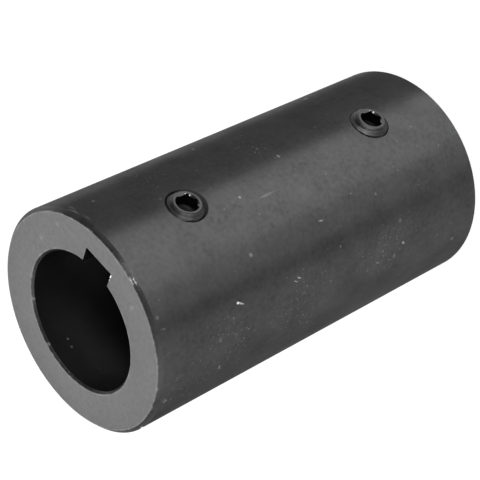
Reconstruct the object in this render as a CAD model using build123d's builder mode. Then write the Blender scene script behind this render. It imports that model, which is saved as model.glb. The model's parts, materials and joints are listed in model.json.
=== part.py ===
from build123d import *
import math
import os

os.makedirs("parts", exist_ok=True)

# Rigid shaft coupling: a one-piece bored sleeve with a full-length keyway and two set screws.
# Millimetres. The bore runs along Z, the sleeve stands on its lower end at Z = 0,
# and the keyway and both screws face -Y.

# sleeve
outer_diameter = 45.0
sleeve_length = 88.0
bore_diameter = 28.0
outer_chamfer = 0.8
bore_chamfer = 0.45

# keyway, cut from end to end; its depth is counted from the bore's surface
keyway_width = 7.1
keyway_depth = 3.3

# tapped holes, one near each end, straight over the keyway
screw_end_distance = 19.3
thread_clearance = 0.03
mouth_chamfer = 0.12

# set screws: hexagon socket at the outer end, cup point at the inner end
screw_diameter = 8.0
screw_length = 6.0
screw_top_chamfer = 0.8
socket_across_flats = 4.0
socket_depth = 2.6
socket_pilot_diameter = 3.9
socket_pilot_angle = 120.0
lead_in_diameter = 4.4
cup_diameter = 5.0
cup_depth = 1.0
point_height = 0.87

# how far each screw stands out of the sleeve, and how far its socket is turned
upper_stand_out = 0.6
lower_stand_out = 1.25
upper_socket_turn = 12.0
lower_socket_turn = 15.0

outer_radius = outer_diameter / 2
bore_radius = bore_diameter / 2
keyway_floor = bore_radius + keyway_depth
screw_radius = screw_diameter / 2
hole_radius = screw_radius + thread_clearance
lower_screw_height = screw_end_distance
upper_screw_height = sleeve_length - screw_end_distance


def mouth_plane(height, stand_out=0.0):
    """Plane across a screw's axis, facing out of the sleeve, with its X along the bore."""
    return Plane(origin=(0, -outer_radius - stand_out, height), x_dir=(0, 0, 1), z_dir=(0, -1, 0))


with BuildPart() as sleeve:
    with BuildSketch(Plane.XY):
        Circle(outer_radius)
        Circle(bore_radius, mode=Mode.SUBTRACT)
    extrude(amount=sleeve_length)
    rims = sleeve.edges().filter_by(GeomType.CIRCLE).group_by(SortBy.RADIUS)
    chamfer(rims[-1], length=outer_chamfer)
    chamfer(rims[0], length=bore_chamfer)
    with BuildSketch(Plane.XY):
        Rectangle(keyway_width, keyway_floor, align=(Align.CENTER, Align.MAX))
    extrude(amount=sleeve_length, mode=Mode.SUBTRACT)
    with Locations(mouth_plane(lower_screw_height), mouth_plane(upper_screw_height)):
        Hole(hole_radius, depth=outer_radius)
    mouths = sleeve.edges(Select.LAST).group_by(Axis.Y)[0]
    chamfer(mouths, length=mouth_chamfer)

sleeve.part.label = "sleeve"
export_step(sleeve.part, "parts/sleeve.step")

screws = (
    ("upper_set_screw", upper_screw_height, upper_stand_out, upper_socket_turn),
    ("lower_set_screw", lower_screw_height, lower_stand_out, lower_socket_turn),
)

lead_in_radius = lead_in_diameter / 2
pilot_radius = socket_pilot_diameter / 2
pilot_cone_depth = pilot_radius / math.tan(math.radians(socket_pilot_angle / 2))

for name, height, stand_out, socket_turn in screws:
    top = mouth_plane(height, stand_out)
    # half sections are drawn beside the screw's axis, inwards from its outer end
    section = Plane(origin=top.origin, x_dir=(1, 0, 0), z_dir=(0, 0, 1))
    axis = Axis(top.origin, (0, 1, 0))
    with BuildPart() as screw:
        with BuildSketch(section):
            with BuildLine():
                Polyline(
                    (0, 0),
                    (screw_radius - screw_top_chamfer, 0),
                    (screw_radius, screw_top_chamfer),
                    (screw_radius, screw_length - point_height),
                    (cup_diameter / 2, screw_length),
                    (0, screw_length - cup_depth),
                    close=True,
                )
            make_face()
        revolve(axis=axis)
        with BuildSketch(top):
            RegularPolygon(socket_across_flats / 2, 6, major_radius=False, rotation=-socket_turn)
        extrude(amount=-socket_depth, mode=Mode.SUBTRACT)
        # the socket's chamfered mouth, and the pilot drill's cone at its bottom
        with BuildSketch(section):
            with BuildLine():
                Polyline((0, 0), (lead_in_radius, 0), (0, lead_in_radius), close=True)
            make_face()
            with BuildLine():
                Polyline(
                    (0, socket_depth),
                    (pilot_radius, socket_depth),
                    (0, socket_depth + pilot_cone_depth),
                    close=True,
                )
            make_face()
        revolve(axis=axis, mode=Mode.SUBTRACT)
    screw.part.label = name
    export_step(screw.part, f"parts/{name}.step")
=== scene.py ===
import json
import math

import bpy
from mathutils import Matrix, Vector


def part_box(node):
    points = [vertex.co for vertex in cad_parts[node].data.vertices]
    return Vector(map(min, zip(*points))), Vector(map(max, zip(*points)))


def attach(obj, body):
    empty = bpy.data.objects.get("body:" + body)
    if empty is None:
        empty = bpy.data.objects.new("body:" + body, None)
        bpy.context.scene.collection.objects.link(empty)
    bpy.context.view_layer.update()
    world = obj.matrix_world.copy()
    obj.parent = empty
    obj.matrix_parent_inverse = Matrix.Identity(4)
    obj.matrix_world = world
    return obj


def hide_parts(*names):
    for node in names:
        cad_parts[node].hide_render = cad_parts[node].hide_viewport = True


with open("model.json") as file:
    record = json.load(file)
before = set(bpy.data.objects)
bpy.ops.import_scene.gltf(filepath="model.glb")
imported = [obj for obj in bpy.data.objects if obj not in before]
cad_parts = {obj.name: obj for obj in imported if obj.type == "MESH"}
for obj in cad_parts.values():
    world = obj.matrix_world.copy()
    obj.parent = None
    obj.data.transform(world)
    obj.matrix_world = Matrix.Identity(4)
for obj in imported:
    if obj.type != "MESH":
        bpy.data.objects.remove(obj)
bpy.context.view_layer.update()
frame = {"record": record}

# Blackened steel shaft coupling, standing on its lower end, seen from above on a white floor.
# Metres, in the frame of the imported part: bore along Z, keyway and set screws facing -Y.

mm = 0.001
sharpAngle = math.radians(25)      # an edge that turns more than this stays crisp
scene = bpy.context.scene
mounts = {mount["name"]: mount for mount in frame["record"]["mounts"]}
sleeveLow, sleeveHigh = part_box("sleeve")
outerRadius = sleeveHigh.x
sleeveLength = sleeveHigh.z
boreRadius = mounts["upper_bore"]["dims"]["r_mm"] * mm
keywayFloor = -mounts["keyway"]["pos_m"][1]


# camera

cameraSetup = {
    "aim": Vector((1.37, 0.54, 45.5)) * mm,
    "distance": 323.45 * mm,
    "azimuth": -28.97,     # degrees, and so are the next two; 0 looks along +Y
    "elevation": 37.1,
    "roll": 115.53,        # the sleeve lies across the picture
    "lens": 121.08,
    "sensor": 36.0,
    "near": 0.01,
    "far": 10.0,
}


def towards(azimuth, elevation):
    azimuth, elevation = math.radians(azimuth), math.radians(elevation)
    return Vector((
        math.sin(azimuth) * math.cos(elevation),
        -math.cos(azimuth) * math.cos(elevation),
        math.sin(elevation),
    ))


def makeCamera(setup):
    data = bpy.data.cameras.new("camera")
    data.lens = setup["lens"]
    data.sensor_width = setup["sensor"]
    data.clip_start, data.clip_end = setup["near"], setup["far"]
    camera = bpy.data.objects.new("camera", data)
    back = towards(setup["azimuth"], setup["elevation"])
    roll = Matrix.Rotation(-math.radians(setup["roll"]), 3, "Z")
    turn = back.to_track_quat("Z", "Y").to_matrix() @ roll
    camera.matrix_world = Matrix.Translation(setup["aim"] + back * setup["distance"]) @ turn.to_4x4()
    scene.collection.objects.link(camera)
    scene.camera = camera


makeCamera(cameraSetup)
print("camera ready")


# node helpers: a Field is a socket that can be calculated with

class Field:
    def __init__(self, tree, socket):
        self.tree, self.socket = tree, socket

    def calc(self, operation, *values, swap=False):
        node = self.tree.nodes.new("ShaderNodeMath")
        node.operation = operation
        terms = (*values, self) if swap else (self, *values)
        for socket, value in zip(node.inputs, terms):
            feed(self.tree, socket, value)
        return Field(self.tree, node.outputs[0])

    def __add__(self, other):
        return self.calc("ADD", other)

    def __sub__(self, other):
        return self.calc("SUBTRACT", other)

    def __rsub__(self, other):
        return self.calc("SUBTRACT", other, swap=True)

    def __mul__(self, other):
        return self.calc("MULTIPLY", other)

    def __truediv__(self, other):
        return self.calc("DIVIDE", other)

    def __rtruediv__(self, other):
        return self.calc("DIVIDE", other, swap=True)

    def __abs__(self):
        return self.calc("ABSOLUTE")

    def low(self, other):
        return self.calc("MINIMUM", other)

    def high(self, other):
        return self.calc("MAXIMUM", other)

    def above(self, other):
        return self.calc("GREATER_THAN", other)

    def below(self, other):
        return self.calc("LESS_THAN", other)

    __radd__, __rmul__ = __add__, __mul__


def feed(tree, socket, value):
    if isinstance(value, Field):
        value = value.socket
    if isinstance(value, bpy.types.NodeSocket):
        tree.links.new(value, socket)
    else:
        socket.default_value = value


def addNode(tree, kind, inputs=None, **settings):
    node = tree.nodes.new(kind)
    for name, value in settings.items():
        setattr(node, name, value)
    for name, value in (inputs or {}).items():
        feed(tree, node.inputs[name], value)
    return node


def newTree(name, treeKind, inputs, outputs):
    tree = bpy.data.node_groups.new(name, treeKind)
    for direction, sockets in (("INPUT", inputs), ("OUTPUT", outputs)):
        for label, (valueKind, default) in sockets.items():
            kind = "NodeSocket" + valueKind
            socket = tree.interface.new_socket(label, in_out=direction, socket_type=kind)
            if default is not None:
                socket.default_value = default
    source = tree.nodes.new("NodeGroupInput")
    fields = {label: Field(tree, source.outputs[label]) for label in inputs}
    return tree, fields


def endTree(tree, results):
    target = tree.nodes.new("NodeGroupOutput")
    for label, value in results.items():
        feed(tree, target.inputs[label], value)


def splitVector(tree, vector):
    node = addNode(tree, "ShaderNodeSeparateXYZ", {0: vector})
    return [Field(tree, socket) for socket in node.outputs]


def joinVector(tree, x, y, z):
    return addNode(tree, "ShaderNodeCombineXYZ", {0: x, 1: y, 2: z}).outputs[0]


def placeGroup(tree, group, inputs):
    node = addNode(tree, tree.bl_idname.replace("Tree", "Group"), node_tree=group)
    for label, value in inputs.items():
        feed(tree, node.inputs[label], value)
    return Field(tree, node.outputs[0])


# kinds of input and output, with their first values
number = ("Float", 0.0)
vector = ("Vector", (0.0, 0.0, 0.0))
geometry = ("Geometry", None)
material = ("Material", None)


def runTree(name, tree, values, body):
    # the tree's result, kept as a plain mesh that rides on the body
    mesh = bpy.data.meshes.new(name)
    holder = bpy.data.objects.new(name + "Maker", mesh)
    scene.collection.objects.link(holder)
    modifier = holder.modifiers.new("maker", "NODES")
    modifier.node_group = tree
    keys = {
        item.name: item.identifier
        for item in tree.interface.items_tree
        if item.item_type == "SOCKET" and item.in_out == "INPUT"
    }
    for label, value in values.items():
        modifier[keys[label]] = value
    holder.update_tag()
    graph = bpy.context.evaluated_depsgraph_get()
    result = bpy.data.meshes.new_from_object(holder.evaluated_get(graph))
    result.name = name
    holder.modifiers.remove(modifier)
    bpy.data.objects.remove(holder)
    result.set_sharp_from_angle(angle=sharpAngle)
    piece = bpy.data.objects.new(name, result)
    scene.collection.objects.link(piece)
    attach(piece, body)
    return piece


# a threaded solid about Z: its rows follow the helix, so crests and roots stay crisp

threadForm = {
    "pitch": 1.25 * mm,
    "rowsPerPitch": 16,
    "around": 96,
    "crest": 3.95 * mm,
    "root": 3.27 * mm,
    "apex": 4.085 * mm,        # where the two flanks of a crest would meet
    "flankSlope": 1.732,       # 60 degree thread
    "clearance": 0.1 * mm,     # added to the radius of the tapped hole's flanks
    "holeMajor": 4.03 * mm,
    "holeMinor": 3.36 * mm,
    "mouth": 4.15 * mm,        # the hole's countersink, at the sleeve's surface
    "join": 0.002 * mm,        # points this close become one, at the seam and the ends
}


def threadedSolidTree(form):
    tree, given = newTree(
        "threadedSolid",
        "GeometryNodeTree",
        {
            "Pitch": number, "Apex": number, "Crest": number, "Root": number, "Start": number,
            "Bottom": number, "Top": number,
            "Bottom Rim": number, "Bottom Slope": number, "Cup Depth": number,
            "Top Rim": number, "Top Slope": number,
            "Mouth": number, "Surface": number,
        },
        {"Mesh": geometry},
    )
    pitch, bottom, top = given["Pitch"], given["Bottom"], given["Top"]
    rowStep = pitch / form["rowsPerPitch"]
    spareRows = form["rowsPerPitch"] + 3      # a turn that the helix rises, and the ends
    rows = ((top - bottom) / rowStep).calc("CEIL") + spareRows
    grid = addNode(tree, "GeometryNodeMeshGrid", {"Vertices X": form["around"] + 1, "Vertices Y": rows})
    index = Field(tree, addNode(tree, "GeometryNodeInputIndex").outputs[0])
    column = (index / rows).calc("FLOOR")
    row = index - column * rows
    turn = column / form["around"]
    angle = turn * math.tau
    lifted = bottom - pitch + (row - 1) * rowStep + turn * pitch      # each row climbs with the helix
    height = lifted.high(bottom).low(top)
    along = (height - given["Start"]) / pitch - turn
    fromCrest = abs(along.calc("FRACT") - 0.5) * pitch
    radius = (given["Apex"] - fromCrest * form["flankSlope"]).high(given["Root"]).low(given["Crest"])
    sideways = radius * angle.calc("COSINE")
    surface = (given["Surface"].calc("POWER", 2.0) - sideways.calc("POWER", 2.0)).calc("SQRT")
    radius = radius.high(given["Mouth"] - surface + height)      # the countersink, along a round side
    radius = radius.low(given["Bottom Rim"] + (height - bottom) * given["Bottom Slope"])
    radius = radius.low(given["Top Rim"] + (top - height) * given["Top Slope"])
    first = 1 - row.above(0.5)      # these two rows close the ends
    last = row.above(rows - 1.5)
    radius = radius * (1 - first) * (1 - last)
    height = height + first * (bottom - height + given["Cup Depth"]) + last * (top - height)
    place = joinVector(tree, radius * angle.calc("COSINE"), radius * angle.calc("SINE"), height)
    shaped = addNode(tree, "GeometryNodeSetPosition", {"Geometry": grid.outputs[0], "Position": place})
    merged = addNode(
        tree, "GeometryNodeMergeByDistance", {"Geometry": shaped.outputs[0], "Distance": form["join"]}
    )
    endTree(tree, {"Mesh": merged.outputs[0]})
    return tree


threadedSolid = threadedSolidTree(threadForm)


def moved(tree, mesh, place=(0, 0, 0), turned=(0, 0, 0), size=(1, 1, 1)):
    return addNode(
        tree, "GeometryNodeTransform",
        {"Geometry": mesh, "Translation": place, "Rotation": turned, "Scale": size},
    ).outputs[0]


def subtract(tree, mesh, cutters):
    node = addNode(tree, "GeometryNodeMeshBoolean", operation="DIFFERENCE", solver="MANIFOLD")
    feed(tree, node.inputs[0], mesh)
    for cutter in cutters:
        feed(tree, node.inputs[1], cutter)
    return node.outputs[0]


def finishMesh(tree, mesh, finishes):
    smooth = addNode(tree, "GeometryNodeSetShadeSmooth", {"Geometry": mesh})
    mesh = addNode(tree, "GeometryNodeRealizeInstances", {"Geometry": smooth.outputs[0]}).outputs[0]
    for finish, chosen in finishes:      # each one paints over those before it
        values = {"Geometry": mesh, "Selection": chosen, "Material": finish}
        mesh = addNode(tree, "GeometryNodeSetMaterial", values).outputs[0]
    return mesh


# finishes: an effect that several of them use is a group, and all read Object coordinates

texture = {
    "grainSize": 0.9 * mm,
    "patchSize": 7 * mm,
    "waverSize": 12 * mm,        # of the tool marks
    "waver": 0.5,
    "grainInRoughness": 0.3,
    "dustInRoughness": 0.2,
    "markEdgeSize": 0.35 * mm,
    "markEdge": 0.3,             # how ragged a mark is, unless it says so itself
    "rubWidth": 0.25 * mm,
    "rubSize": 1.2 * mm,
    "rubRagged": 0.8,
}


def cloud(tree, position, size, detail=2.0):
    noise = addNode(tree, "ShaderNodeTexNoise", {"Vector": position, "Scale": 1 / size, "Detail": detail})
    return (Field(tree, noise.outputs[0]) - 0.5) * 4     # about -1 to 1


def soft(value):
    return value.high(0.0).low(1.0)


def grainTree():
    tree, given = newTree(
        "steelGrain", "ShaderNodeTree",
        {
            "Position": vector, "Grain Size": number, "Grain": number,
            "Patch Size": number, "Patches": number,
        },
        {"Factor": number},
    )
    grain = cloud(tree, given["Position"], given["Grain Size"]) * given["Grain"]
    patches = cloud(tree, given["Position"], given["Patch Size"], 3.0) * given["Patches"]
    endTree(tree, {"Factor": grain + patches + 1})
    return tree


def toolMarkTree():
    tree, given = newTree(
        "toolMarks", "ShaderNodeTree",
        {"Position": vector, "Spacing": number, "Waver Size": number, "Waver": number},
        {"Height": number},
    )
    x, y, z = splitVector(tree, given["Position"])
    track = ((x * x + y * y).calc("SQRT") + z) / given["Spacing"]
    track = track + cloud(tree, given["Position"], given["Waver Size"]) * given["Waver"]
    rings = addNode(
        tree, "ShaderNodeTexNoise", {"W": track, "Scale": 1.0, "Detail": 3.0}, noise_dimensions="1D"
    )
    endTree(tree, {"Height": (Field(tree, rings.outputs[0]) - 0.5) * 4})
    return tree


def speckTree():
    tree, given = newTree(
        "dustSpecks", "ShaderNodeTree",
        {"Position": vector, "Spacing": number, "Size": number, "Share": number},
        {"Mask": number},
    )
    cells = addNode(
        tree, "ShaderNodeTexVoronoi", {"Vector": given["Position"], "Scale": 1 / given["Spacing"]}
    )
    chance, sort, strength = splitVector(tree, cells.outputs["Color"])
    size = given["Size"] / given["Spacing"] * (sort * sort + 0.4)
    mask = soft((1 - Field(tree, cells.outputs["Distance"]) / size) * 2)
    endTree(tree, {"Mask": mask * chance.below(given["Share"]) * (strength * 0.7 + 0.3)})
    return tree


def spotTree():
    tree, given = newTree(
        "spot", "ShaderNodeTree",
        {
            "Position": vector, "Centre": vector, "Turn": vector, "Size": vector,
            "Ragged Size": number, "Ragged": number,
        },
        {"Mask": number},
    )
    local = addNode(
        tree, "ShaderNodeMapping",
        {"Vector": given["Position"], "Location": given["Centre"], "Rotation": given["Turn"],
         "Scale": given["Size"]},
        vector_type="TEXTURE",
    ).outputs[0]
    length = addNode(tree, "ShaderNodeVectorMath", {0: local}, operation="LENGTH")
    away = Field(tree, length.outputs["Value"])
    away = away + cloud(tree, given["Position"], given["Ragged Size"]) * given["Ragged"]
    endTree(tree, {"Mask": soft((1 - away) * 2)})
    return tree


def rubTree():
    tree, given = newTree(
        "rubbedEdge", "ShaderNodeTree",
        {
            "Position": vector, "Distance": number, "Width": number,
            "Ragged Size": number, "Ragged": number,
        },
        {"Mask": number},
    )
    ragged = cloud(tree, given["Position"], given["Ragged Size"]) * given["Ragged"]
    endTree(tree, {"Mask": soft(1 - given["Distance"] / given["Width"] + ragged)})
    return tree


steelGrain = grainTree()
toolMarks = toolMarkTree()
dustSpecks = speckTree()
spot = spotTree()
rubbedEdge = rubTree()


def startMaterial(name, constants):
    finish = bpy.data.materials.new(name)
    finish.use_nodes = True
    tree = finish.node_tree
    shader = tree.nodes["Principled BSDF"]
    for label, value in constants.items():
        shader.inputs[label].default_value = value
    return finish, tree, shader, addNode(tree, "ShaderNodeTexCoord").outputs["Object"]


def markPlace(mark):
    # a mark lies at an angle round the bore from the keyway, and leans up from its direction round it
    around = math.radians(mark["around"])
    radius = mark.get("radius", outerRadius / mm) * mm
    return (
        (radius * math.sin(around), -radius * math.cos(around), mark["height"] * mm),
        (0.0, -math.radians(mark.get("lean", 0)), around),
        (mark["long"] * mm, mark.get("deep", 1.0) * mm, mark["wide"] * mm),
    )


def placeSpot(tree, position, mark):
    centre, turn, size = markPlace(mark)
    return placeGroup(tree, spot, {
        "Position": position, "Centre": centre, "Turn": turn, "Size": size,
        "Ragged Size": texture["markEdgeSize"], "Ragged": mark.get("ragged", texture["markEdge"]),
    })


def edgeDistance(edges, radius, fromEnd):
    nearest = None
    for edgeRadius, edgeDepth in edges:
        aside, down = radius - edgeRadius, fromEnd - edgeDepth
        distance = (aside * aside + down * down).calc("SQRT")
        nearest = distance if nearest is None else nearest.low(distance)
    return nearest


def finishShader(tree, shader, position, look, shade):
    # shade is what the finish would be with no grain; dust and tool marks are added to it
    grain = placeGroup(tree, steelGrain, {
        "Position": position, "Grain Size": texture["grainSize"], "Grain": look["grain"],
        "Patch Size": texture["patchSize"], "Patches": look["patches"],
    })
    rings = placeGroup(tree, toolMarks, {
        "Position": position, "Spacing": look["ringSpacing"] * mm,
        "Waver Size": texture["waverSize"], "Waver": texture["waver"],
    })
    dust = placeGroup(tree, dustSpecks, {
        "Position": position, "Spacing": look["dustSpacing"] * mm, "Size": look["dustSize"] * mm,
        "Share": look["dustShare"],
    })
    colour = shade * grain * (rings * look["rings"] + 1) + dust * look["dust"]
    share = texture["grainInRoughness"]
    rough = (grain * share + (1 - share)) * look["roughness"] + dust * texture["dustInRoughness"]
    feed(tree, shader.inputs["Base Color"], colour)
    feed(tree, shader.inputs["Roughness"], rough)
    height = rings * look["ringHeight"] * mm + grain * look["grainHeight"] * mm
    bump = addNode(tree, "ShaderNodeBump", {"Height": height, "Distance": 1.0})
    feed(tree, shader.inputs["Normal"], bump.outputs[0])


# set screws

screwForm = {
    "topRim": 2.75 * mm,            # the flat ring's outer radius
    "pointRim": 2.5 * mm,
    "pointSlope": 1.5 / 0.87,
    "cupDepth": 1.0 * mm,
    "socketRadius": 2.309 * mm,     # to the corners of a 4 mm hexagon
    "socketDepth": 2.6 * mm,
    "leadIn": 2.32 * mm,            # the socket's mouth cone, at the top
    "leadInSlope": 0.93,
    "pilotRadius": 1.95 * mm,
    "pilotDepth": 1.126 * mm,
    "coneSides": 48,
    "over": 1.0 * mm,               # how far the cutters stand out of the screw
    "overlap": 0.01 * mm,
    "wornDepth": 0.6 * mm,          # how far the ring's finish goes down the mouth
    "paintedShadeRadius": 2.1 * mm,        # the socket's painted shade, to this radius and depth
    "paintedShadeDepth": 4.0 * mm,
    "facesOut": 0.95,
}
screws = {
    "upper_set_screw": {"socketTurn": 6, "crestAt": 0.42},
    "lower_set_screw": {"socketTurn": 10, "crestAt": 0.74},
}

# lengths in a look are in mm
oxideLook = {
    "shade": 0.036, "roughness": 0.38, "grain": 0.15, "grainHeight": 0.003, "patches": 0.15,
    "rings": 0.8, "ringSpacing": 0.3, "ringHeight": 0.006,
    "dust": 0.1, "dustSpacing": 0.6, "dustSize": 0.12, "dustShare": 0.1,
}
screwLooks = {
    "blackOxide": oxideLook,
    "wornOxide": {**oxideLook, "shade": 0.1, "roughness": 0.15, "rings": 0.1},
    # painted shade: the socket's inside is a darker copy of the same oxide
    "socketPaintedShade": {**oxideLook, "shade": 0.01, "roughness": 0.6, "dustShare": 0.0},
}


def screwMaterial(name, look):
    finish, tree, shader, position = startMaterial(name, {"Metallic": 1.0})
    x, y, z = splitVector(tree, position)
    height = abs(z - sleeveLength / 2) - (screws["upper_set_screw"]["height"] - sleeveLength / 2)
    position = joinVector(tree, x, height, y)       # the same round either screw
    finishShader(tree, shader, position, look, look["shade"])
    return finish


def threadInputs(form, tapped):
    # a rim of 1 metre, or a mouth of -1, leaves that end as it is
    values = {"Pitch": form["pitch"]}
    if tapped:
        values.update({
            "Apex": form["apex"] + form["clearance"], "Crest": form["holeMajor"],
            "Root": form["holeMinor"], "Mouth": form["mouth"], "Surface": outerRadius,
            "Bottom Rim": 1.0, "Top Rim": 1.0,
        })
    else:
        values.update({
            "Apex": form["apex"], "Crest": form["crest"], "Root": form["root"],
            "Mouth": -1.0, "Surface": 1.0,
            "Bottom Rim": screwForm["pointRim"], "Bottom Slope": screwForm["pointSlope"],
            "Cup Depth": screwForm["cupDepth"], "Top Rim": screwForm["topRim"], "Top Slope": 1.0,
        })
    return values


def cone(tree, form, radius, depth):
    return addNode(
        tree, "GeometryNodeMeshCone",
        {"Vertices": form["coneSides"], "Radius Top": radius, "Radius Bottom": 0.0, "Depth": depth},
    ).outputs[0]


def screwTree(form, threads):
    tree, given = newTree(
        "setScrew",
        "GeometryNodeTree",
        {
            "Start": number, "Bottom": number, "Top": number, "Height": number, "Socket Turn": number,
            "Oxide": material, "Ring": material, "Socket": material,
        },
        {"Mesh": geometry},
    )
    top = given["Top"]
    values = threadInputs(threads, tapped=False)
    values.update({"Start": given["Start"], "Bottom": given["Bottom"], "Top": top})
    blank = placeGroup(tree, threadedSolid, values)
    over = form["over"]
    hexagon = addNode(
        tree, "GeometryNodeMeshCylinder",
        {"Vertices": 6, "Radius": form["socketRadius"], "Depth": form["socketDepth"] + over},
    ).outputs[0]
    hexagon = moved(
        tree, hexagon,
        joinVector(tree, 0, 0, top + (over - form["socketDepth"]) / 2),
        joinVector(tree, 0, 0, given["Socket Turn"]),
    )
    leadInDepth = form["leadIn"] / form["leadInSlope"]
    leadIn = cone(tree, form, form["leadIn"] + over * form["leadInSlope"], leadInDepth + over)
    leadIn = moved(tree, leadIn, joinVector(tree, 0, 0, top - leadInDepth))
    pilotEnd = form["socketDepth"] + form["pilotDepth"] - form["overlap"]
    pilot = cone(tree, form, form["pilotRadius"], form["pilotDepth"])
    pilot = moved(tree, pilot, joinVector(tree, 0, 0, top - pilotEnd))
    screw = subtract(tree, blank, [hexagon, leadIn, pilot])
    x, y, z = splitVector(tree, addNode(tree, "GeometryNodeInputPosition").outputs[0])
    normal = splitVector(tree, addNode(tree, "GeometryNodeInputNormal").outputs[0])
    radius = (x * x + y * y).calc("SQRT")
    wornEnd = top - form["wornDepth"]
    # where the socket's painted shade goes
    shadedSocket = radius.below(form["paintedShadeRadius"]) * z.below(wornEnd) * z.above(top - form["paintedShadeDepth"])
    isRing = normal[2].above(form["facesOut"]).high(z.above(wornEnd) * radius.below(form["topRim"]))
    finishes = [(given["Oxide"], True), (given["Ring"], isRing), (given["Socket"], shadedSocket)]
    screw = finishMesh(tree, screw, finishes)
    screw = moved(tree, screw, joinVector(tree, 0, 0, given["Height"]), (math.pi / 2, 0, 0))
    endTree(tree, {"Mesh": screw})
    return tree


for name, choice in screws.items():
    choice["low"], choice["high"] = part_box(name)
    choice["height"] = (choice["low"].z + choice["high"].z) / 2
oxides = {name: screwMaterial(name, look) for name, look in screwLooks.items()}
setScrew = screwTree(screwForm, threadForm)
for name, choice in screws.items():
    choice["start"] = outerRadius + (choice["crestAt"] - 0.5) * threadForm["pitch"]
    piece = runTree(
        name + ".steel",
        setScrew,
        {
            "Start": choice["start"], "Bottom": -choice["high"].y, "Top": -choice["low"].y,
            "Height": choice["height"], "Socket Turn": math.radians(90 - choice["socketTurn"]),
            "Oxide": oxides["blackOxide"], "Ring": oxides["wornOxide"], "Socket": oxides["socketPaintedShade"],
        },
        name,
    )
    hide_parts(name)
    print(name, len(piece.data.polygons), "faces")


# sleeve

sleeveForm = {
    "around": 360,
    "outerChamfer": 0.8 * mm,
    "boreChamfer": 0.45 * mm,
    "edgeBreak": 0.06 * mm,
    "keywayWidth": 7.1 * mm,
    "keywayOver": 1.1,          # the cutter's length, in lengths of the sleeve
    "holeOver": 1.0 * mm,       # how far the tapped holes' cutters stand out
    "dentSize": 0.7,            # of the mark that it lies in
    "flat": 0.9,                # how squarely a turned side or an end faces
    "sloping": 0.2,
}

# edgeTint is the shade at a glancing angle, and the other lengths and shares are as for the screws
turnedLook = {
    "shade": 0.080, "edgeTint": 0.4, "brushed": 1.0, "roughness": 0.5,
    "grain": 0.17, "grainHeight": 0.002, "patches": 0.2,
    "rings": 0.05, "ringSpacing": 0.22, "ringHeight": 0.001, "rub": 0.06,
    "dust": 0.17, "dustSpacing": 0.5, "dustSize": 0.18, "dustShare": 0.02, "dustInPatches": 0.75,
}
plainLook = {**turnedLook, "brushed": 0.0}
facedLook = {
    **plainLook, "shade": 0.114, "edgeTint": 0.5, "grain": 0.14, "patches": 0.045, "dust": 0.05,
}
# painted shade: the chamfer is a darker copy of the same steel; its tint, roughness and rub are its own
chamferLook = {**plainLook, "shade": 0.044, "edgeTint": 0.7, "roughness": 0.45, "rub": 0.09}
# painted shade: the bore is a much darker copy of the same steel
boredLook = {
    **plainLook, "shade": 0.014, "edgeTint": 0.2, "roughness": 0.8, "rub": 0.0,
    "grain": 0.1, "grainHeight": 0.0, "dust": 0.05,
    "inside": 0.18,            # painted light: lighter further into the bore
    "insidePower": 1.5,
    "holePaintedShade": 0.5,          # painted shade: the tapped holes' walls are darker than the bore
    "holeRadius": 18,          # their walls lie outside this radius, and further in than this
    "holeFromEnd": 10,
}

# marks that handling has left: angle from the keyway in degrees, sizes and heights in mm
sideMarks = [
    {"around": -53, "height": 68.5, "long": 0.35, "wide": 0.35, "bright": 0.9},
    {"around": -54, "height": 67.8, "long": 0.9, "wide": 0.2, "lean": 60, "bright": 0.5},
    {"around": -35, "height": 62.5, "long": 0.5, "wide": 0.5, "bright": 0.12, "ragged": 0.1},
    {"around": -56, "height": 52.8, "long": 0.7, "wide": 0.14, "lean": 60, "bright": 0.45},
    {"around": -57, "height": 53.7, "long": 0.6, "wide": 0.13, "lean": 60, "bright": 0.3},
    {"around": -51, "height": 41, "long": 0.35, "wide": 0.35, "bright": 0.12},
    {"around": -35, "height": 44, "long": 0.7, "wide": 0.16, "lean": 80, "bright": 0.3},
    {"around": -66, "height": 23.5, "long": 0.5, "wide": 0.3, "lean": 60, "bright": 0.3},
    {"around": -8, "height": 58, "long": 0.35, "wide": 0.3, "bright": 0.15},
    {"around": 4, "height": 43.7, "long": 0.45, "wide": 0.4, "bright": 0.15},
    {"around": 14, "height": 45.7, "long": 0.35, "wide": 0.35, "bright": 0.12},
    {"around": -12.5, "height": 52.5, "long": 2.4, "wide": 0.3, "lean": 90, "bright": 0.05},
    {"around": -84, "height": 73, "long": 0.6, "wide": 0.25, "bright": 0.2},
    {"around": -67, "height": 73.5, "long": 0.6, "wide": 0.5, "bright": 0.07},
    {"around": -48, "height": 85.9, "long": 0.5, "wide": 0.18, "lean": 75, "bright": 0.1},
    {"around": 37, "height": 54, "long": 0.4, "wide": 0.4, "bright": 0.15},
    {"around": 9, "height": 72, "long": 0.4, "wide": 0.4, "bright": 0.06},
    {"around": -53, "height": 24, "long": 0.5, "wide": 0.5, "bright": 0.07},
    {"around": -71, "height": 26, "long": 0.6, "wide": 0.5, "bright": 0.08},
    {"around": -70, "height": 31, "long": 0.7, "wide": 0.25, "lean": 60, "bright": 0.1},
    {"around": -81, "height": 7, "long": 0.5, "wide": 0.5, "bright": 0.1},
    {"around": -35, "height": 28.5, "long": 0.35, "wide": 0.3, "bright": 0.08},
    {"around": -42, "height": 86.5, "long": 0.4, "wide": 0.4, "bright": 0.08},
    {"around": -88, "height": 86, "long": 0.7, "wide": 0.6, "bright": 0.08},
    {"around": 42, "height": 21, "long": 0.5, "wide": 0.5, "bright": 0.15},
    {"around": 25, "height": 86.9, "long": 1.6, "wide": 0.2, "bright": 0.15},
    {"around": 29, "height": 86.2, "long": 1.3, "wide": 0.18, "bright": 0.1},
    {"around": 17, "height": 86.6, "long": 1.2, "wide": 0.2, "bright": 0.08},
    {"around": 27, "height": 82, "long": 0.4, "wide": 0.4, "bright": 0.1},
]
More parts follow.
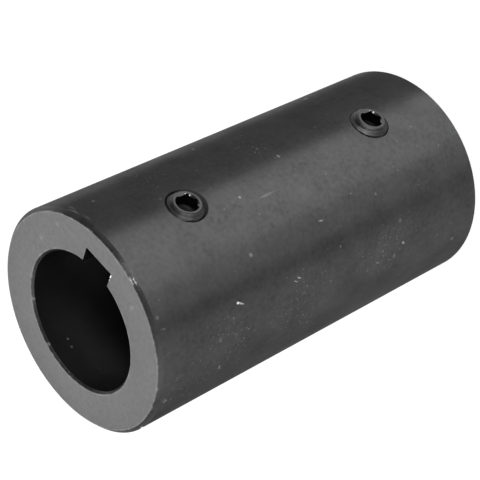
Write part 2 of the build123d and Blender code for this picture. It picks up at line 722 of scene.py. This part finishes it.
dustPatches = [
    {"around": -73, "height": 53, "long": 8, "wide": 8},
    {"around": -72, "height": 71, "long": 8, "wide": 7},
    {"around": -86, "height": 82, "long": 6, "wide": 9},
    {"around": -65, "height": 30, "long": 6, "wide": 8},
    {"around": 20, "height": 46, "long": 6, "wide": 5},
    {"around": 32, "height": 70, "long": 6, "wide": 6},
    {"around": 42, "height": 22, "long": 5, "wide": 8},
]
rimPatch = {
    "around": -19, "radius": 22, "height": 87.7, "long": 3.5, "deep": 1.5, "wide": 1.5, "bright": 0.06,
}
faceMarks = [
    {"around": -34, "radius": 18.4, "height": 88, "long": 0.6, "wide": 1.0, "deep": 0.9, "bright": 0.035},
    {"around": 58, "radius": 17.2, "height": 88, "long": 0.7, "wide": 1.0, "deep": 0.7, "bright": 0.03},
    {"around": 37, "radius": 19.2, "height": 88, "long": 0.6, "wide": 1.0, "deep": 0.6, "bright": 0.03},
    {"around": 141, "radius": 18.5, "height": 88, "long": 0.5, "wide": 1.0, "deep": 0.4, "bright": -0.012},
    {"around": -12, "radius": 17, "height": 88, "long": 0.3, "deep": 0.5, "wide": 0.3, "bright": 0.9},
    {"around": -12.6, "radius": 16.2, "height": 88, "long": 0.2, "deep": 0.3, "wide": 0.3, "bright": 0.4},
]
boreMarks = [
    {"around": 118, "radius": 14.2, "height": 87.8, "long": 0.4, "deep": 0.5, "wide": 0.5, "bright": 0.07},
    {"around": 156, "radius": 14.2, "height": 87.8, "long": 0.5, "deep": 0.5, "wide": 0.5, "bright": 0.2},
    {"around": 159, "radius": 14, "height": 83.6, "long": 0.3, "wide": 0.28, "bright": 0.12},
    {"around": 166, "radius": 14, "height": 83.8, "long": 0.35, "wide": 0.35, "bright": 0.08},
]
nicks = [   # small dents in the rim, bright inside
    {
        "around": -22, "radius": 21.88, "height": 87.9, "long": 1.0, "deep": 0.24, "wide": 0.2,
        "bright": 0.5,
    },
    {
        "around": -22.7, "radius": 22.23, "height": 87.55, "long": 1.0, "deep": 0.22, "wide": 0.2,
        "bright": 0.5,
    },
    {
        "around": -115, "radius": 22.4, "height": 86.35, "long": 3.0, "deep": 0.8, "wide": 0.6,
        "lean": 37, "bright": 0.02, "inside": 0.8,
    },
    {
        "around": -92.5, "radius": 21.75, "height": 88.05, "long": 0.5, "deep": 0.3, "wide": 0.3,
        "bright": 0.1,
    },
]
insideBright = 0.3      # in a dent that doesn't say so itself
patchDeep = 3           # the dust patches' depth and edge
patchEdge = 0.5


def sleeveMaterial(name, look, marks, patches=()):
    finish, tree, shader, position = startMaterial(name, {
        "Metallic": 1.0, "Specular Tint": (look["edgeTint"],) * 3 + (1,),
        "Anisotropic": look["brushed"], "Anisotropic Rotation": look["brushed"] / 4,     # round the bore
    })
    x, y, z = splitVector(tree, position)
    radius = (x * x + y * y).calc("SQRT")
    fromEnd = z.low(sleeveLength - z)
    edges = [
        (outerRadius - sleeveForm["outerChamfer"], 0.0),
        (boreRadius + sleeveForm["boreChamfer"], 0.0),
    ]
    rub = placeGroup(tree, rubbedEdge, {
        "Position": position, "Distance": edgeDistance(edges, radius, fromEnd),
        "Width": texture["rubWidth"], "Ragged Size": texture["rubSize"], "Ragged": texture["rubRagged"],
    })
    shade = rub * look["rub"] + look["shade"]
    if "inside" in look:
        # painted light: the bore's colour rises further in, where less light reaches
        paintedDepthLight = (fromEnd * 2 / sleeveLength).calc("POWER", look["insidePower"])
        # painted shade in the tapped holes
        inHole = radius.above(look["holeRadius"] * mm) * fromEnd.above(look["holeFromEnd"] * mm)
        shade = (shade + paintedDepthLight * look["inside"]) * (1 - inHole * (1 - look["holePaintedShade"]))
    for mark in marks:
        shade = shade + placeSpot(tree, position, mark) * mark["bright"]
    if patches:
        dusty = None
        for patch in patches:
            mask = placeSpot(tree, position, {**patch, "deep": patchDeep, "ragged": patchEdge})
            dusty = mask if dusty is None else dusty.high(mask)
        look = {**look, "dustShare": dusty * look["dustInPatches"] + look["dustShare"]}
    finishShader(tree, shader, position, look, shade)
    return finish


dentMarks = [{**nick, "bright": nick.get("inside", insideBright)} for nick in nicks]
finishes = {
    "Turned": sleeveMaterial("turnedSteel", turnedLook, sideMarks + nicks, dustPatches),
    "Chamfer": sleeveMaterial("chamferSteel", chamferLook, [rimPatch, *nicks, *boreMarks]),
    "Faced": sleeveMaterial("facedSteel", facedLook, faceMarks),
    "Bored": sleeveMaterial("boredSteel", boredLook, faceMarks + boreMarks + dentMarks),
}
print(len(finishes), "finishes for the sleeve")


def sleeveTree(form, threads):
    tree, given = newTree(
        "turnedSleeve",
        "GeometryNodeTree",
        {
            "Outer Radius": number, "Bore Radius": number, "Length": number, "Outer Chamfer": number,
            "Bore Chamfer": number, "Edge Break": number, "Keyway Width": number, "Keyway Floor": number,
            "Upper Height": number, "Upper Start": number, "Lower Height": number, "Lower Start": number,
            "Turned": material, "Chamfer": material, "Faced": material, "Bored": material,
        },
        {"Mesh": geometry},
    )
    outer, bore, tall = given["Outer Radius"], given["Bore Radius"], given["Length"]
    section = addNode(
        tree, "GeometryNodeCurvePrimitiveQuadrilateral", {"Width": outer - bore, "Height": tall}
    ).outputs[0]
    across = splitVector(tree, addNode(tree, "GeometryNodeInputPosition").outputs[0])[0]
    isOuter = across.above(0.0)
    chamfer = given["Bore Chamfer"] + isOuter * (given["Outer Chamfer"] - given["Bore Chamfer"])
    section = addNode(
        tree, "GeometryNodeFilletCurve", {"Curve": section, "Count": 1, "Radius": chamfer}, mode="POLY"
    ).outputs[0]
    section = addNode(
        tree, "GeometryNodeFilletCurve",
        {"Curve": section, "Count": 3, "Radius": given["Edge Break"]}, mode="POLY",
    ).outputs[0]
    path = addNode(
        tree, "GeometryNodeCurvePrimitiveCircle",
        {"Resolution": form["around"], "Radius": (outer + bore) / 2},
    ).outputs[0]
    body = addNode(
        tree, "GeometryNodeCurveToMesh", {"Curve": path, "Profile Curve": section}
    ).outputs[0]
    body = moved(tree, body, joinVector(tree, 0, 0, tall / 2))
    slotSize = joinVector(tree, given["Keyway Width"], given["Keyway Floor"], tall * form["keywayOver"])
    keyway = addNode(tree, "GeometryNodeMeshCube", {"Size": slotSize}).outputs[0]
    keyway = moved(tree, keyway, joinVector(tree, 0, given["Keyway Floor"] / -2, tall / 2))
    holes = []
    for end in ("Upper", "Lower"):
        values = threadInputs(threads, tapped=True)
        values.update({"Start": given[end + " Start"], "Bottom": bore, "Top": outer + form["holeOver"]})
        hole = placeGroup(tree, threadedSolid, values)
        height = joinVector(tree, 0, 0, given[end + " Height"])
        holes.append(moved(tree, hole, height, (math.pi / 2, 0, 0)))
    dents = []
    for nick in nicks:
        ball = addNode(
            tree, "GeometryNodeMeshIcoSphere", {"Radius": form["dentSize"], "Subdivisions": 3}
        ).outputs[0]
        dents.append(moved(tree, ball, *markPlace(nick)))
    body = subtract(tree, body, [keyway, *holes, *dents])
    x, y, z = splitVector(tree, addNode(tree, "GeometryNodeInputPosition").outputs[0])
    normalX, normalY, normalZ = splitVector(tree, addNode(tree, "GeometryNodeInputNormal").outputs[0])
    radius = (x * x + y * y).calc("SQRT")
    outward = (normalX * x + normalY * y) / radius
    fromEnd = z.low(tall - z)
    atEnd = fromEnd.below(given["Outer Chamfer"])
    order = [
        (given["Bored"], True),
        (given["Turned"], outward.above(form["flat"])),
        (given["Chamfer"], atEnd * abs(normalZ).above(form["sloping"])),
        (given["Faced"], atEnd * abs(normalZ).above(form["flat"])),
    ]
    endTree(tree, {"Mesh": finishMesh(tree, body, order)})
    return tree


upper, lower = screws["upper_set_screw"], screws["lower_set_screw"]
sleeve = runTree(
    "sleeve.steel",
    sleeveTree(sleeveForm, threadForm),
    {
        "Outer Radius": outerRadius, "Bore Radius": boreRadius, "Length": sleeveLength,
        "Outer Chamfer": sleeveForm["outerChamfer"], "Bore Chamfer": sleeveForm["boreChamfer"],
        "Edge Break": sleeveForm["edgeBreak"], "Keyway Width": sleeveForm["keywayWidth"],
        "Keyway Floor": keywayFloor,
        "Upper Height": upper["height"], "Upper Start": upper["start"],
        "Lower Height": lower["height"], "Lower Start": lower["start"],
        **finishes,
    },
    "sleeve",
)
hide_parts("sleeve")
print("sleeve", len(sleeve.data.polygons), "faces")


# floor and light: a white sweep round the sleeve, and soft lamps that leave its back in shade

stageForm = {
    "flatRadius": 1.7,
    "bendRadius": 0.25,
    "wallHeight": 0.5,
    "around": 96,
    "bendSteps": 12,
    "shade": 0.3,          # for light that scatters from it
    "seenShade": 0.17,     # as the camera and the steel see it, together with the glow
    "glow": 0.9,
    "worldStrength": 0.2,
}
lamps = {
    "frontLamp": {"azimuth": 0, "elevation": 22, "width": 1.3, "height": 0.3, "power": 18.2},
    "cornerLamp": {"azimuth": -45, "elevation": 8, "width": 0.5, "height": 0.25, "power": 2.6},
    "leftLamp": {"azimuth": -108, "elevation": 40, "width": 1.3, "height": 0.35, "power": 7.0},
    "rightLamp": {"azimuth": 99, "elevation": 7, "width": 0.5, "height": 0.25, "power": 2.5},
    "rimLamp": {"azimuth": -148, "elevation": 7, "width": 0.7, "height": 0.25, "power": 1.6},
    "smallLamp": {"azimuth": -31, "elevation": 33, "width": 0.15, "height": 0.15, "power": 1.3},
    "backLamp": {"azimuth": 150, "elevation": 42, "width": 0.9, "height": 0.75, "power": 8.5},
}
lampDistance = 1.3
lampAim = Vector((0, 0, 0.05))      # just above the sleeve's middle


def sweepMesh(form):
    profile = [(form["flatRadius"], 0.0)]
    for step in range(1, form["bendSteps"] + 1):
        angle = math.radians(90) * step / form["bendSteps"]
        profile.append((
            form["flatRadius"] + form["bendRadius"] * math.sin(angle),
            form["bendRadius"] * (1 - math.cos(angle)),
        ))
    profile.append((form["flatRadius"] + form["bendRadius"], form["wallHeight"]))
    around = form["around"]
    points = [
        (radius * math.cos(math.tau * turn / around), radius * math.sin(math.tau * turn / around), height)
        for radius, height in profile
        for turn in range(around)
    ]
    faces = [tuple(range(around))]
    for ring in range(len(profile) - 1):
        for turn in range(around):
            after = (turn + 1) % around
            first, second = ring * around, (ring + 1) * around
            faces.append((first + turn, second + turn, second + after, first + after))
    mesh = bpy.data.meshes.new("sweep")
    mesh.from_pydata(points, [], faces)
    mesh.flip_normals()
    return mesh


def paperMaterial(form):
    paper = bpy.data.materials.new("whitePaper")
    paper.use_nodes = True
    tree = paper.node_tree
    tree.nodes.clear()
    rays = addNode(tree, "ShaderNodeLightPath")
    seen = Field(tree, rays.outputs["Is Camera Ray"])
    for kind in ("Is Glossy Ray", "Is Transmission Ray"):
        seen = seen.high(rays.outputs[kind])
    seenShade = (form["seenShade"],) * 3 + (1,)
    shade = (form["shade"],) * 3 + (1,)
    lit = addNode(tree, "ShaderNodeBsdfDiffuse", {"Color": seenShade})
    glow = addNode(tree, "ShaderNodeEmission", {"Strength": form["glow"]})
    white = addNode(tree, "ShaderNodeAddShader", {0: lit.outputs[0], 1: glow.outputs[0]})
    plain = addNode(tree, "ShaderNodeBsdfDiffuse", {"Color": shade})
    mix = addNode(tree, "ShaderNodeMixShader", {0: seen, 1: plain.outputs[0], 2: white.outputs[0]})
    addNode(tree, "ShaderNodeOutputMaterial", {"Surface": mix.outputs[0]})
    return paper


def makeLamp(name, form):
    data = bpy.data.lights.new(name, "AREA")
    data.shape = "RECTANGLE"
    data.size, data.size_y = form["width"], form["height"]
    data.energy = form["power"]
    lamp = bpy.data.objects.new(name, data)
    back = towards(form["azimuth"], form["elevation"])
    turn = back.to_track_quat("Z", "Y").to_matrix().to_4x4()
    lamp.matrix_world = Matrix.Translation(lampAim + back * lampDistance) @ turn
    lamp.visible_camera = False
    scene.collection.objects.link(lamp)


sweep = bpy.data.objects.new("sweep", sweepMesh(stageForm))
sweep.data.materials.append(paperMaterial(stageForm))
scene.collection.objects.link(sweep)
for name, form in lamps.items():
    makeLamp(name, form)

world = bpy.data.worlds.new("studio")
scene.world = world
world.use_nodes = True
world.node_tree.nodes["Background"].inputs["Color"].default_value = (1, 1, 1, 1)
world.node_tree.nodes["Background"].inputs["Strength"].default_value = stageForm["worldStrength"]
scene.view_settings.view_transform = "Standard"
print("floor and lamps ready")
